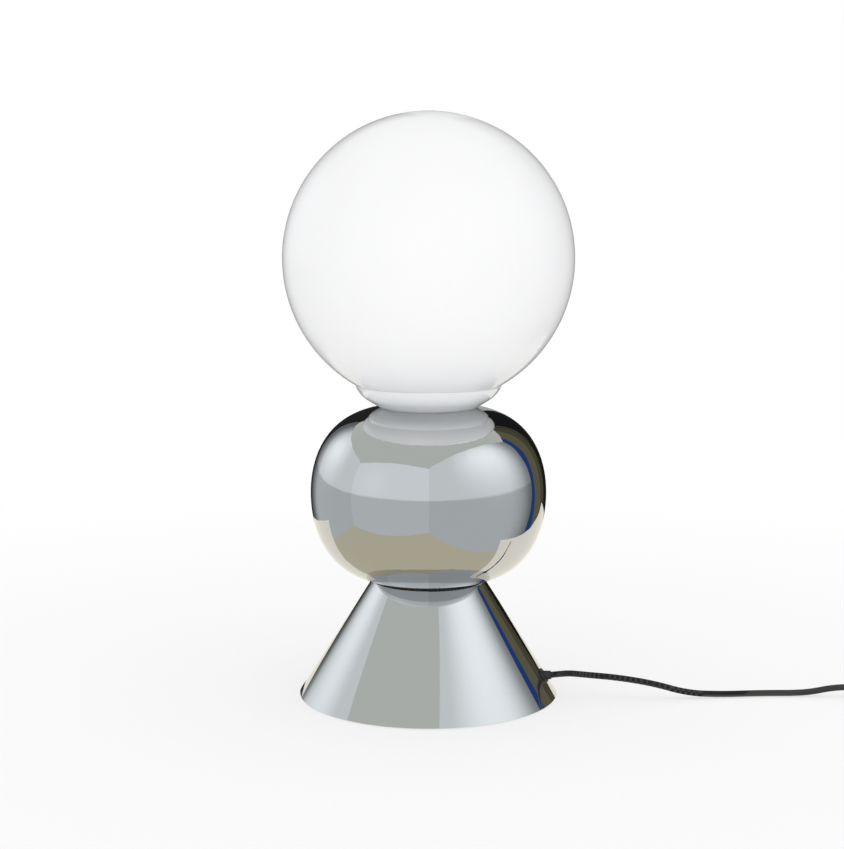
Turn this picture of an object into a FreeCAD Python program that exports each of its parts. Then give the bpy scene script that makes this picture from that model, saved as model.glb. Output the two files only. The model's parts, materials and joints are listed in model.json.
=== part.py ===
import FreeCAD, Part
import os
from math import acos, asin, atan, atan2, cos, degrees, hypot, pi, radians, sin, sqrt, tan
from FreeCAD import Vector

# Glass globe table lamp. Millimetres, +Z up, -Y towards the viewer.
# The origin is on the table, on the lamp's axis. The cord leaves to +X.

# ---------------------------------------------------------------- sizes
# globe
GLOBE_RADIUS = 125.0
GLOBE_WALL = 2.6
GLOBE_MOUTH_RADIUS = 50.0
# cup that carries the globe
CUP_FOOT_RADIUS = 41.6
CUP_RIM_RADIUS = 63.1
CUP_HEIGHT = 18.9
CUP_RIM_CURVE = 28.0
CUP_RIM_STEEPNESS = 66.0
CUP_WALL = 3.0
SEAL_THICKNESS = 0.5
SEAL_INNER_RADIUS = 58.6
SEAL_OUTER_RADIUS = 61.0
SEAL_FIT = 0.1
GLOBE_SEAT_GAP = 0.25
# ball, a squashed sphere: radius and half heights, with the powers of its outline
BALL_RADIUS = 102.3
BALL_RISE = 76.2
BALL_DROP = 78.0
BALL_WALL = 1.5
BALL_UPPER_POWERS = (3.40, 2.08)
BALL_LOWER_POWERS = (3.67, 2.02)
BALL_TOP_SEAT_RADIUS = 42.0
BALL_LOW_SEAT_RADIUS = 46.0
# black ring between ball and cone
RING_THICKNESS = 1.3
RING_RADIUS = 45.5
RING_BORE_RADIUS = 31.0
# cone
CONE_BASE_RADIUS = 113.0
CONE_TOP_RADIUS = 49.4
CONE_HEIGHT = 100.3
CONE_WALL = 1.5
CONE_TOP_EDGE = 0.7
CONE_HEM_WIDTH = 3.4
RIM_CLEARANCE = 0.8
# ballast, bottom cover, foot
BALLAST_THICKNESS = 7.5
BALLAST_HUB_RADIUS = 16.0
BALLAST_HUB_HEIGHT = 16.5
BALLAST_POCKET_RADIUS = 12.5
BALLAST_POCKET_DEPTH = 9.0
COVER_THICKNESS = 1.0
COVER_SCREWS = 3
COVER_SCREW_CIRCLE = 62.0
FOOT_THICKNESS = 2.2
FOOT_RADIUS = 106.0
FOOT_WIDTH = 18.0
# threaded tube and its nuts
TUBE_RADIUS = 5.0
TUBE_BORE_RADIUS = 4.0
TUBE_SLOT_HEIGHT = 21.0
NUT_FLATS = 14.0
NUT_HEIGHT = 5.0
WASHER_RADIUS = 11.5
WASHER_THICKNESS = 1.5
# lampholder
HOLDER_NECK_RADIUS = 8.6
HOLDER_NECK_HEIGHT = 9.0
HOLDER_RADIUS = 20.5
HOLDER_CAP_HEIGHT = 25.0
HOLDER_HEIGHT = 54.0
HOLDER_WALL = 1.8
SCREW_SHELL_RADIUS = 13.35
SCREW_SHELL_WALL = 0.5
# bulb
BULB_RADIUS = 30.0
BULB_LENGTH = 104.0
BULB_GLASS = 1.0
BULB_CAP_RADIUS = 13.05
BULB_CAP_WALL = 0.4
BULB_CAP_HEIGHT = 21.0
BULB_NECK_GAP = 0.25
BULB_TIP_HEIGHT = 1.2
BULB_INSULATOR_HEIGHT = 4.0
# mains cord
CORD_DIAMETER = 5.4
OUTLET_BEARING = -10.0
OUTLET_HEIGHT = 18.9
OUTLET_RISE = 8.0
OUTLET_FLANGE_RADIUS = 6.6
OUTLET_FLANGE = 1.6
OUTLET_BARREL_RADIUS = 5.4
OUTLET_SLEEVE_RADIUS = 4.3
OUTLET_SLEEVE_WALL = 0.9
OUTLET_NOSE_LENGTH = 7.0
OUTLET_TAIL_LENGTH = 16.0
CLAMP_DISTANCE = 60.0
# in-line switch
SWITCH_START = (378.0, -18.0)
SWITCH_LENGTH = 56.0
SWITCH_WIDTH = 27.0
SWITCH_HEIGHT = 17.0
SWITCH_CORNER = 9.0
SWITCH_EDGE = 2.2
SWITCH_WALL = 1.8
SWITCH_NOSE = 8.0
ROCKER_LENGTH = 20.2
ROCKER_WIDTH = 10.2
ROCKER_TILT = 9.0
ROCKER_PIN_RADIUS = 1.2
ROCKER_PIN_GAP = 0.05
# put-away coil
COIL_CENTRE_X = 500.0
COIL_INNER_RADIUS = 21.4
COIL_TURN_GAP = 1.7
COIL_LAYER_GAP = 0.8
COIL_HALF_TURNS = 6
TIE_THICKNESS = 0.8
TIE_WIDTH = 6.0
TIE_GAP = 0.3
TIE_SIDE_GAP = 0.7
TIE_CORNER = 2.4
# two-pin plug
PLUG_HEADING = 80.0
PLUG_WIDTH = 35.3
PLUG_THICKNESS = 13.7
PLUG_LENGTH = 36.0
PLUG_RELIEF = 22.0
PIN_SPACING = 19.0
PIN_RADIUS = 2.0
PIN_LENGTH = 19.0
PIN_SLEEVE = 10.0
PIN_CORE_RADIUS = 1.5
PIN_SLEEVE_WALL = 0.25
PIN_SLEEVE_FIT = 0.05
PIN_ROOT = 8.0
PIN_COLLAR = 2.5
PIN_COLLAR_RADIUS = 2.6
PIN_CHAMFER = 1.0
# screws and fits
SCREW_RADIUS = 1.5
SCREW_HEAD_RADIUS = 2.8
SCREW_HEAD_HEIGHT = 1.5
CLOSE_FIT = 0.1
EASY_FIT = 0.3

# ------------------------------------------------------- derived places
RIM_Z = RIM_CLEARANCE
CONE_TOP_Z = RIM_Z + CONE_HEIGHT
CONE_SLOPE = (CONE_BASE_RADIUS - CONE_TOP_RADIUS) / CONE_HEIGHT
CONE_TILT = atan(CONE_SLOPE)
CONE_WALL_ACROSS = CONE_WALL / cos(CONE_TILT)
COVER_Z = FOOT_THICKNESS
BALLAST_Z = COVER_Z + COVER_THICKNESS + EASY_FIT
BALLAST_TOP_Z = BALLAST_Z + BALLAST_THICKNESS
POCKET_TOP_Z = BALLAST_Z + BALLAST_POCKET_DEPTH
TUBE_HOLE_RADIUS = TUBE_RADIUS + CLOSE_FIT
CORD_RADIUS = CORD_DIAMETER / 2
COIL_STEP = CORD_DIAMETER + COIL_TURN_GAP
COIL_LAYER = CORD_DIAMETER + COIL_LAYER_GAP


def seat_angle(radius, seat, power):
    """Outline parameter at which the squashed sphere has the seat's radius."""
    return acos((seat / radius) ** (power / 2))


def seat_level(radius, height, powers, seat):
    """Height above the equator of the flat seat pressed into the crown."""
    return height * sin(seat_angle(radius, seat, powers[0])) ** (2 / powers[1])


BALL_LOW_Z = CONE_TOP_Z + RING_THICKNESS
BALL_EQUATOR_Z = BALL_LOW_Z + seat_level(BALL_RADIUS, BALL_DROP, BALL_LOWER_POWERS, BALL_LOW_SEAT_RADIUS)
BALL_TOP_Z = BALL_EQUATOR_Z + seat_level(BALL_RADIUS, BALL_RISE, BALL_UPPER_POWERS, BALL_TOP_SEAT_RADIUS)
CUP_RIM_Z = BALL_TOP_Z + CUP_HEIGHT
SEAL_RADIUS = GLOBE_RADIUS + GLOBE_SEAT_GAP
GLOBE_Z = CUP_RIM_Z + sqrt((SEAL_RADIUS + SEAL_THICKNESS) ** 2 - CUP_RIM_RADIUS ** 2)
CUP_FLOOR_Z = BALL_TOP_Z + CUP_WALL
UPPER_NUT_Z = CUP_FLOOR_Z + WASHER_THICKNESS
HOLDER_Z = UPPER_NUT_Z + NUT_HEIGHT
TUBE_BOTTOM_Z = BALLAST_Z + 1.0
TUBE_TOP_Z = HOLDER_Z + HOLDER_NECK_HEIGHT
LOWER_WASHER_Z = POCKET_TOP_Z - WASHER_THICKNESS
CONTACT_BLOCK_Z = HOLDER_Z + HOLDER_CAP_HEIGHT - 6.0
CONTACT_BLOCK_HEIGHT = 5.0
BULB_Z = CONTACT_BLOCK_Z + CONTACT_BLOCK_HEIGHT + 3.2


# -------------------------------------------------------------- helpers
def at(r, z):
    """A point of a section, in the plane that is turned round the axis."""
    return Vector(r, 0, z)


def line(a, b):
    return Part.LineSegment(a, b).toShape()


def arc(a, middle, b):
    return Part.Arc(a, middle, b).toShape()


def arc_about(centre, radius, start, end):
    """Arc in the section plane between two angles, in degrees from +X towards +Z."""
    points = []
    for angle in (start, (start + end) / 2, end):
        points.append(centre + Vector(radius * cos(radians(angle)), 0, radius * sin(radians(angle))))
    return arc(*points)


def turned(edges):
    """Solid made by turning a closed section round the Z axis."""
    face = Part.Face(Part.Wire(edges))
    return face.revolve(Vector(0, 0, 0), Vector(0, 0, 1), 360)


def turned_outline(points):
    """Solid turned from straight lines through (radius, height) points."""
    corners = [at(r, z) for r, z in points]
    return turned([line(a, b) for a, b in zip(corners, corners[1:] + corners[:1])])


def disc(radius, z, height, bore=0.0):
    solid = Part.makeCylinder(radius, height, Vector(0, 0, z))
    if bore:
        solid = solid.cut(Part.makeCylinder(bore, height + 2, Vector(0, 0, z - 1)))
    return solid


def rod(radius, start, direction, length):
    return Part.makeCylinder(radius, length, start, direction)


def block(size, centre):
    corner = Vector(centre[0] - size[0] / 2, centre[1] - size[1] / 2, centre[2] - size[2] / 2)
    return Part.makeBox(size[0], size[1], size[2], corner)


def moved(shape, heading, place):
    """Turn a shape about Z by a heading in degrees, then carry it to a place."""
    out = shape.copy()
    out.rotate(Vector(0, 0, 0), Vector(0, 0, 1), heading)
    out.translate(place)
    return out


def rounded_outline(length, width, corner, z):
    """Closed wire of a rectangle with round corners, centred on the Z axis."""
    x = length / 2 - corner
    y = width / 2 - corner
    edges = []
    for k, (cx, cy) in enumerate(((x, y), (-x, y), (-x, -y), (x, -y))):
        points = []
        for angle in (90 * k, 90 * k + 45, 90 * k + 90):
            points.append(Vector(cx + corner * cos(radians(angle)), cy + corner * sin(radians(angle)), z))
        edges.append(arc(*points))
    sides = []
    for k, edge in enumerate(edges):
        following = edges[(k + 1) % 4]
        start = edge.Vertexes[-1].Point
        end = following.Vertexes[0].Point
        sides.append(edge)
        if (start - end).Length > 1e-6:
            sides.append(line(start, end))
    return Part.Wire(sides)


def slab(length, width, corner, z, height):
    return Part.Face(rounded_outline(length, width, corner, z)).extrude(Vector(0, 0, height))


def hexagon(flats, z, height, bore):
    """Hexagon nut with a plain bore."""
    radius = flats / 2 / cos(radians(30))
    corners = [Vector(radius * cos(radians(60 * k)), radius * sin(radians(60 * k)), z) for k in range(7)]
    body = Part.Face(Part.makePolygon(corners)).extrude(Vector(0, 0, height))
    return body.cut(Part.makeCylinder(bore, height + 2, Vector(0, 0, z - 1)))


def screw(place, direction, length):
    """Pan head screw: the head stands on the place, the shank goes along the direction."""
    head = rod(SCREW_HEAD_RADIUS, place - direction * SCREW_HEAD_HEIGHT, direction, SCREW_HEAD_HEIGHT)
    return head.fuse(rod(SCREW_RADIUS, place, direction, length)).removeSplitter()


def fillet_circles(solid, radius, wanted):
    """Round the circular edges whose centre height and radius are asked for."""
    edges = []
    for edge in solid.Edges:
        curve = edge.Curve
        if not isinstance(curve, Part.Circle):
            continue
        for z, r in wanted:
            if abs(curve.Center.z - z) < 0.01 and abs(curve.Radius - r) < 0.01:
                edges.append(edge)
    return solid.makeFillet(radius, edges)


# ----------------------------------------------------------------- cord
def run_path(points):
    """Edges of straight runs joined by arcs as large as the runs allow, and the arcs' radii."""
    edges = []
    radii = []
    start = points[0]
    for before, corner, after in zip(points, points[1:], points[2:]):
        back = before - corner
        ahead = after - corner
        shorter = min(back.Length, ahead.Length)
        back.normalize()
        ahead.normalize()
        turn = pi - back.getAngle(ahead)
        cut = 0.45 * shorter
        radius = cut / tan(turn / 2)
        enter = corner + back * cut
        leave = corner + ahead * cut
        bisector = back + ahead
        bisector.normalize()
        middle = corner + bisector * (radius / cos(turn / 2) - radius)
        edges.append(line(start, enter))
        edges.append(arc(enter, middle, leave))
        radii.append(radius)
        start = leave
    edges.append(line(start, points[-1]))
    return edges, radii


def piped(edges, diameter):
    """Round tube along a smooth chain of edges."""
    first = edges[0]
    start = first.valueAt(first.FirstParameter)
    heading = first.tangentAt(first.FirstParameter)
    ring = Part.Wire(Part.Circle(start, heading, diameter / 2).toShape())
    shell = Part.BRepOffsetAPI.MakePipeShell(Part.Wire(edges))
    shell.add(ring)
    shell.build()
    shell.makeSolid()
    return shell.shape()


def check_tube(name, solid, edges, radii):
    length = sum(edge.Length for edge in edges)
    plain = pi * CORD_RADIUS ** 2 * length
    least = min(radii) if radii else 0.0
    print(f"{name}: length {length:.1f}, least radius {least:.1f}, volume ratio {solid.Volume / plain:.4f}")
    return length


def outlet_frame():
    """Middle of the wall at the outlet, the wall's outward normal and the cord's direction."""
    bearing = radians(OUTLET_BEARING)
    radius = CONE_BASE_RADIUS - CONE_SLOPE * (OUTLET_HEIGHT - RIM_Z)
    outward = Vector(cos(bearing), sin(bearing), 0)
    up = Vector(0, 0, 1)
    place = outward * radius + up * OUTLET_HEIGHT
    normal = outward * cos(CONE_TILT) + up * sin(CONE_TILT)
    heading = outward * cos(radians(OUTLET_RISE)) + up * sin(radians(OUTLET_RISE))
    return place, normal, heading, outward


def outlet_barrel_radius():
    """The barrel's own radius, or what the slanting sleeve needs to pass a steeper wall."""
    slant = CONE_TILT - radians(OUTLET_RISE)
    passing = OUTLET_SLEEVE_RADIUS / cos(slant) + 0.9 * CONE_WALL * tan(slant)
    return max(OUTLET_BARREL_RADIUS, passing)


def cord_exit():
    place, normal, heading, outward = outlet_frame()
    return place + heading * OUTLET_NOSE_LENGTH


def coil_levels():
    low = TIE_THICKNESS + TIE_GAP + CORD_RADIUS
    return low, low + COIL_LAYER


def coil_radius(k):
    return COIL_INNER_RADIUS + COIL_STEP / 2 * k


def coil_centre():
    return Vector(COIL_CENTRE_X, SWITCH_START[1] + coil_radius(COIL_HALF_TURNS), 0)


def coil_path():
    """Half turns inwards on the low layer, one rising half turn, and half turns outwards on the upper."""
    low, high = coil_levels()
    centre = coil_centre()
    front = -1

    def half(start, end, z_start, z_end, side):
        a = centre + Vector(0, start, z_start)
        b = centre + Vector(0, end, z_end)
        middle = (a + b) * 0.5 + Vector(side * (b - a).Length / 2, 0, 0)
        return arc(a, middle, b)

    edges = []
    side = front
    for k in range(COIL_HALF_TURNS, 0, -1):
        edges.append(half(side * coil_radius(k), -side * coil_radius(k - 1), low, low, -side))
        side = -side
    edges.append(half(side * coil_radius(0), -side * coil_radius(0), low, high, -side))
    side = -side
    for k in range(0, COIL_HALF_TURNS - 1):
        edges.append(half(side * coil_radius(k), -side * coil_radius(k + 1), high, high, -side))
        side = -side
    reach = (coil_radius(COIL_HALF_TURNS - 1) + coil_radius(COIL_HALF_TURNS)) / 2
    start = centre + Vector(0, side * coil_radius(COIL_HALF_TURNS - 1), high)
    pivot = start - Vector(0, side * reach, 0)
    middle = pivot + Vector(-side * reach * sin(pi / 4), side * reach * cos(pi / 4), 0)
    end = pivot + Vector(-side * reach, 0, 0)
    edges.append(arc(start, middle, end))
    lead_in = edges[0].valueAt(edges[0].FirstParameter)
    entry = line(lead_in - Vector(CORD_DIAMETER, 0, 0), lead_in)
    leave = line(end, end + Vector(0, CORD_DIAMETER, 0))
    return [entry] + edges + [leave]


def cord_coil():
    edges = coil_path()
    solid = piped(edges, CORD_DIAMETER)
    check_tube("cord_coil", solid, edges, [edge.Curve.Radius for edge in edges[1:-1]])
    samples = []
    travelled = 0.0
    for edge in edges:
        steps = 36
        for k in range(steps):
            u = edge.FirstParameter + (edge.LastParameter - edge.FirstParameter) * k / steps
            samples.append((travelled + edge.Length * k / steps, edge.valueAt(u)))
        travelled += edge.Length
    gap = min(
        (p - q).Length - CORD_DIAMETER
        for i, (s, p) in enumerate(samples)
        for t, q in samples[i + 1:]
        if t - s > 6 * CORD_DIAMETER
    )
    print(f"cord_coil: least gap to itself {gap:.2f}")
    return solid


def switch_axis():
    return Vector(SWITCH_START[0], SWITCH_START[1], SWITCH_HEIGHT / 2)


def free_points():
    """Route from the outlet to the switch: a low arch, then along the table."""
    floor = CORD_RADIUS + 0.05
    end = switch_axis()
    return [
        cord_exit(),
        cord_exit() + outlet_frame()[2] * 16.0,
        Vector(140.0, -22.6, 20.7),
        Vector(166.0, -23.8, 18.6),
        Vector(196.0, -24.4, 13.6),
        Vector(225.0, -23.2, 4.9),
        Vector(254.0, -20.2, floor),
        Vector(292.0, -16.6, floor + 0.2),
        Vector(330.0, -16.2, floor),
        end - Vector(24.0, 0, 0),
        end,
    ]


def link_points():
    """Route from the switch down to the coil's low layer."""
    start = switch_axis() + Vector(SWITCH_LENGTH + 2 * SWITCH_NOSE, 0, 0)
    path = coil_path()
    end = path[0].valueAt(path[0].FirstParameter)
    return [
        start,
        start + Vector(13.0, 0, 0),
        end - Vector(14.0, 0, 0),
        end,
    ]


def plug_inlet():
    path = coil_path()
    end = path[-1].valueAt(path[-1].LastParameter)
    return Vector(end.x + 3.0, end.y + 34.0, PLUG_THICKNESS / 2)


def tail_points():
    """Route from the coil's upper layer to the plug."""
    path = coil_path()
    start = path[-1].valueAt(path[-1].LastParameter)
    inlet = plug_inlet()
    back = Vector(cos(radians(PLUG_HEADING)), sin(radians(PLUG_HEADING)), 0)
    return [
        start,
        start + Vector(0, 12.0, 0),
        inlet - back * 12.0,
        inlet,
    ]


def lead_points():
    """Route inside the base: from the outlet's tail over the ballast and up the threaded tube."""
    place, normal, heading, outward = outlet_frame()
    up = Vector(0, 0, 1)
    start = place - heading * OUTLET_TAIL_LENGTH
    low = BALLAST_TOP_Z + CORD_RADIUS + EASY_FIT
    high = BALLAST_Z + BALLAST_HUB_HEIGHT + CORD_RADIUS + 1.0
    return [
        start,
        start - heading * 7.0,
        outward * (CLAMP_DISTANCE + 6.0) + up * low,
        outward * (CLAMP_DISTANCE - 10.0) + up * (low + 0.2),
        outward * 30.0 + up * high,
        up * (high + 0.4),
        up * (high + 34.0),
        up * (HOLDER_Z + HOLDER_CAP_HEIGHT - 6.0) + outward * 0.01,
    ]


def tube_along(name, points):
    edges, radii = run_path(points)
    solid = piped(edges, CORD_DIAMETER)
    check_tube(name, solid, edges, radii)
    return solid


# ---------------------------------------------------------------- globe
def glass_globe():
    """Blown sphere, open below, with a round fire-polished lip."""
    middle_radius = GLOBE_RADIUS - GLOBE_WALL / 2
    mouth = degrees(asin((GLOBE_MOUTH_RADIUS + GLOBE_WALL / 2) / middle_radius)) - 90
    centre = at(0, GLOBE_Z)
    lip = centre + Vector(middle_radius * cos(radians(mouth)), 0, middle_radius * sin(radians(mouth)))
    outer = arc_about(centre, GLOBE_RADIUS, mouth, 90)
    inner = arc_about(centre, GLOBE_RADIUS - GLOBE_WALL, 90, mouth)
    crown = line(at(0, GLOBE_Z + GLOBE_RADIUS), at(0, GLOBE_Z + GLOBE_RADIUS - GLOBE_WALL))
    round_lip = arc_about(lip, GLOBE_WALL / 2, mouth + 180, mouth + 360)
    return turned([outer, crown, inner, round_lip])


def cup_outline(offset, foot_z, rim_end):
    """Line from the foot and the tangent arc to the rim, moved inwards by an offset."""
    steep = radians(CUP_RIM_STEEPNESS)
    rim = at(CUP_RIM_RADIUS, CUP_RIM_Z)
    centre = rim + Vector(-sin(steep), 0, cos(steep)) * CUP_RIM_CURVE
    foot = at(CUP_FOOT_RADIUS, BALL_TOP_Z)
    to_centre = centre - foot
    slope = atan2(to_centre.z, to_centre.x) - asin(CUP_RIM_CURVE / hypot(to_centre.x, to_centre.z))
    radius = CUP_RIM_CURVE - offset
    joint = degrees(slope) - 90
    touch = centre + Vector(cos(radians(joint)), 0, sin(radians(joint))) * radius
    start = touch - Vector(cos(slope), 0, sin(slope)) * ((touch.z - foot_z) / sin(slope))
    return start, touch, centre, radius, joint, rim_end


def cup_section(offset, foot_z, beyond):
    start, touch, centre, radius, joint, rim_end = cup_outline(offset, foot_z, CUP_RIM_STEEPNESS - 90 + beyond)
    top = centre + Vector(cos(radians(rim_end)), 0, sin(radians(rim_end))) * radius
    return [
        line(at(0, foot_z), start),
        line(start, touch),
        arc_about(centre, radius, joint, rim_end),
        line(top, at(0, top.z)),
        line(at(0, top.z), at(0, foot_z)),
    ]


def globe_cup():
    """White bowl with a flat foot; its rim is ground to the globe's curve."""
    outside = turned(cup_section(0.0, BALL_TOP_Z, 6.0))
    inside = turned(cup_section(CUP_WALL, CUP_FLOOR_Z, 12.0))
    seat = Part.makeSphere(SEAL_RADIUS + SEAL_THICKNESS + SEAL_FIT, Vector(0, 0, GLOBE_Z))
    hole = rod(TUBE_HOLE_RADIUS, Vector(0, 0, BALL_TOP_Z - 1), Vector(0, 0, 1), CUP_WALL + 2)
    return outside.cut(inside).cut(seat).cut(hole)


def globe_seal():
    """Thin soft band that lies on the cup's rim under the globe."""
    inner = SEAL_RADIUS
    outer = SEAL_RADIUS + SEAL_THICKNESS
    start = -degrees(acos(SEAL_INNER_RADIUS / outer))
    end = -degrees(acos(SEAL_OUTER_RADIUS / outer))
    centre = at(0, GLOBE_Z)
    corners = []
    for radius, angle in ((outer, start), (outer, end), (inner, end), (inner, start)):
        corners.append(centre + Vector(radius * cos(radians(angle)), 0, radius * sin(radians(angle))))
    return turned([
        arc_about(centre, outer, start, end),
        line(corners[1], corners[2]),
        arc_about(centre, inner, end, start),
        line(corners[3], corners[0]),
    ])


# ----------------------------------------------------------------- ball
def squashed_points(radius, height, powers, seat, count):
    """Points of a quarter outline from the equator to the seat, without the equator."""
    last = seat_angle(radius, seat, powers[0])
    points = []
    for k in range(1, count + 1):
        t = last * k / count
        points.append((radius * cos(t) ** (2 / powers[0]), height * sin(t) ** (2 / powers[1])))
    return points


def squashed_solid(shrink):
    radius = BALL_RADIUS - shrink
    upper = squashed_points(radius, BALL_RISE - shrink, BALL_UPPER_POWERS, BALL_TOP_SEAT_RADIUS, 8)
    lower = squashed_points(radius, BALL_DROP - shrink, BALL_LOWER_POWERS, BALL_LOW_SEAT_RADIUS, 8)
    outline = [at(r, BALL_EQUATOR_Z - z) for r, z in reversed(lower)]
    outline.append(at(radius, BALL_EQUATOR_Z))
    outline += [at(r, BALL_EQUATOR_Z + z) for r, z in upper]
    side = Part.BSplineCurve()
    side.interpolate(Points=outline)
    bottom = outline[0]
    top = outline[-1]
    return turned([
        line(at(0, bottom.z), bottom),
        side.toShape(),
        line(top, at(0, top.z)),
        line(at(0, top.z), at(0, bottom.z)),
    ])


def chrome_ball():
    """Squashed hollow ball with two flat seats pressed into its crowns."""
    shell = squashed_solid(0.0).cut(squashed_solid(BALL_WALL))
    height = BALL_TOP_Z - BALL_LOW_Z + 2
    return shell.cut(rod(TUBE_HOLE_RADIUS, Vector(0, 0, BALL_LOW_Z - 1), Vector(0, 0, 1), height))


def spacer_ring():
    return disc(RING_RADIUS, CONE_TOP_Z, RING_THICKNESS, RING_BORE_RADIUS)


# ----------------------------------------------------------------- base
def cone_inside(z):
    """Radius of the cone's inner face at a height."""
    return CONE_BASE_RADIUS - CONE_SLOPE * (z - RIM_Z) - CONE_WALL_ACROSS


def chrome_cone():
    """Drawn cone with a closed top, a turned-in hem and a hole for the cord outlet."""
    outside = Part.makeCone(CONE_BASE_RADIUS, CONE_TOP_RADIUS, CONE_HEIGHT, Vector(0, 0, RIM_Z))
    outside = fillet_circles(outside, CONE_TOP_EDGE, [(CONE_TOP_Z, CONE_TOP_RADIUS)])
    low = RIM_Z + CONE_WALL
    high = CONE_TOP_Z - CONE_WALL
    inside = Part.makeCone(cone_inside(low), cone_inside(high), high - low, Vector(0, 0, low))
    mouth = disc(CONE_BASE_RADIUS - CONE_HEM_WIDTH, RIM_Z - 1, CONE_WALL + 1)
    hole = rod(TUBE_HOLE_RADIUS, Vector(0, 0, high - 1), Vector(0, 0, 1), CONE_WALL + 3)
    place, normal, heading, outward = outlet_frame()
    outlet = rod(outlet_barrel_radius() + CLOSE_FIT, place - normal * 8, normal, 16)
    return outside.cut(inside).cut(mouth).cut(hole).cut(outlet)


def clamp_screw_places():
    bearing = radians(OUTLET_BEARING)
    outward = Vector(cos(bearing), sin(bearing), 0)
    across = Vector(-sin(bearing), cos(bearing), 0)
    return [outward * CLAMP_DISTANCE + across * s * (CORD_RADIUS + 6.0) for s in (-1, 1)]


def cover_screw_places():
    places = []
    for k in range(COVER_SCREWS):
        angle = radians(60 + 360 * k / COVER_SCREWS)
        places.append(Vector(cos(angle), sin(angle), 0) * COVER_SCREW_CIRCLE)
    return places


def ballast_weight():
    """Cast disc whose edge follows the cone's inner face, with a hub for the tube."""
    reach = EASY_FIT / cos(CONE_TILT)
    hub_top = BALLAST_Z + BALLAST_HUB_HEIGHT
    body = turned_outline([
        (TUBE_HOLE_RADIUS, BALLAST_Z),
        (cone_inside(BALLAST_Z) - reach, BALLAST_Z),
        (cone_inside(BALLAST_TOP_Z) - reach, BALLAST_TOP_Z),
        (BALLAST_HUB_RADIUS + 3, BALLAST_TOP_Z),
        (BALLAST_HUB_RADIUS, hub_top),
        (TUBE_HOLE_RADIUS, hub_top),
    ])
    body = body.cut(disc(BALLAST_POCKET_RADIUS, BALLAST_Z - 1, BALLAST_POCKET_DEPTH + 1))
    for place in cover_screw_places():
        body = body.cut(rod(SCREW_RADIUS + CLOSE_FIT, place + Vector(0, 0, BALLAST_Z - 1), Vector(0, 0, 1), 7.5))
    for place in clamp_screw_places():
        body = body.cut(rod(SCREW_RADIUS + CLOSE_FIT, place + Vector(0, 0, BALLAST_TOP_Z - 6.5), Vector(0, 0, 1), 8))
    return body


def bottom_cover():
    mouth = CONE_BASE_RADIUS - CONE_HEM_WIDTH - EASY_FIT
    wall = cone_inside(COVER_Z + COVER_THICKNESS) - EASY_FIT / cos(CONE_TILT)
    plate = disc(min(mouth, wall), COVER_Z, COVER_THICKNESS)
    for place in cover_screw_places():
        plate = plate.cut(rod(SCREW_RADIUS + CLOSE_FIT, place, Vector(0, 0, 1), 10))
    return plate


def cover_screws():
    heads = COVER_Z
    return Part.makeCompound([
        screw(place + Vector(0, 0, heads), Vector(0, 0, 1), 6.0) for place in cover_screw_places()
    ])


def foot_ring():
    return disc(FOOT_RADIUS, 0, FOOT_THICKNESS, FOOT_RADIUS - FOOT_WIDTH)


def cord_clamp():
    """Bridge over the lead, screwed to the ballast."""
    base = BALLAST_TOP_Z
    height = CORD_DIAMETER + EASY_FIT + 3.0
    body = block((9.0, 2 * (CORD_RADIUS + 10.0), height), (CLAMP_DISTANCE, 0, base + height / 2))
    shoulder = block((9.2, 8.6, 4.0), (CLAMP_DISTANCE, 0, base + height))
    for s in (-1, 1):
        step = shoulder.copy()
        step.translate(Vector(0, s * (CORD_RADIUS + 7.1), 0))
        body = body.cut(step)
    width = CORD_RADIUS + EASY_FIT
    channel_z = base + CORD_RADIUS + EASY_FIT
    body = body.cut(rod(width, Vector(CLAMP_DISTANCE - 9, 0, channel_z), Vector(1, 0, 0), 18))
    body = body.cut(block((18, 2 * width, channel_z - base + 2), (CLAMP_DISTANCE, 0, (channel_z + base) / 2 - 1)))
    body = moved(body, OUTLET_BEARING, Vector(0, 0, 0))
    for place in clamp_screw_places():
        body = body.cut(rod(SCREW_RADIUS + CLOSE_FIT, place, Vector(0, 0, 1), 60))
    return body


def clamp_screws():
    top = BALLAST_TOP_Z + CORD_DIAMETER + EASY_FIT + 3.0 - 2.0
    down = Vector(0, 0, -1)
    length = top - BALLAST_TOP_Z + 5.5
    return Part.makeCompound([screw(p + Vector(0, 0, top), down, length) for p in clamp_screw_places()])


def cord_outlet():
    """Moulded strain relief: flange along the wall, tapered nose and tail along the cord."""
    place, normal, heading, outward = outlet_frame()
    flange = rod(OUTLET_FLANGE_RADIUS, place, normal, OUTLET_FLANGE)
    rim = OUTLET_FLANGE_RADIUS
    edges = [e for e in flange.Edges if isinstance(e.Curve, Part.Circle)]
    outer = [e for e in edges if (e.Curve.Center - place).Length > OUTLET_FLANGE / 2]
    flange = flange.makeFillet(OUTLET_FLANGE * 0.45, outer)
    barrel = rod(outlet_barrel_radius(), place - normal * (CONE_WALL + 2.6), normal, CONE_WALL + 3.0)
    lock = rod(rim - 0.4, place - normal * (CONE_WALL + 2.8), normal, 2.5)
    tip = CORD_RADIUS + OUTLET_SLEEVE_WALL
    nose = Part.makeCone(OUTLET_SLEEVE_RADIUS, tip, OUTLET_NOSE_LENGTH, place, heading)
    tail = Part.makeCone(OUTLET_SLEEVE_RADIUS, tip, OUTLET_TAIL_LENGTH, place, heading * -1)
    return flange.multiFuse([barrel, lock, nose, tail]).removeSplitter()


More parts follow.
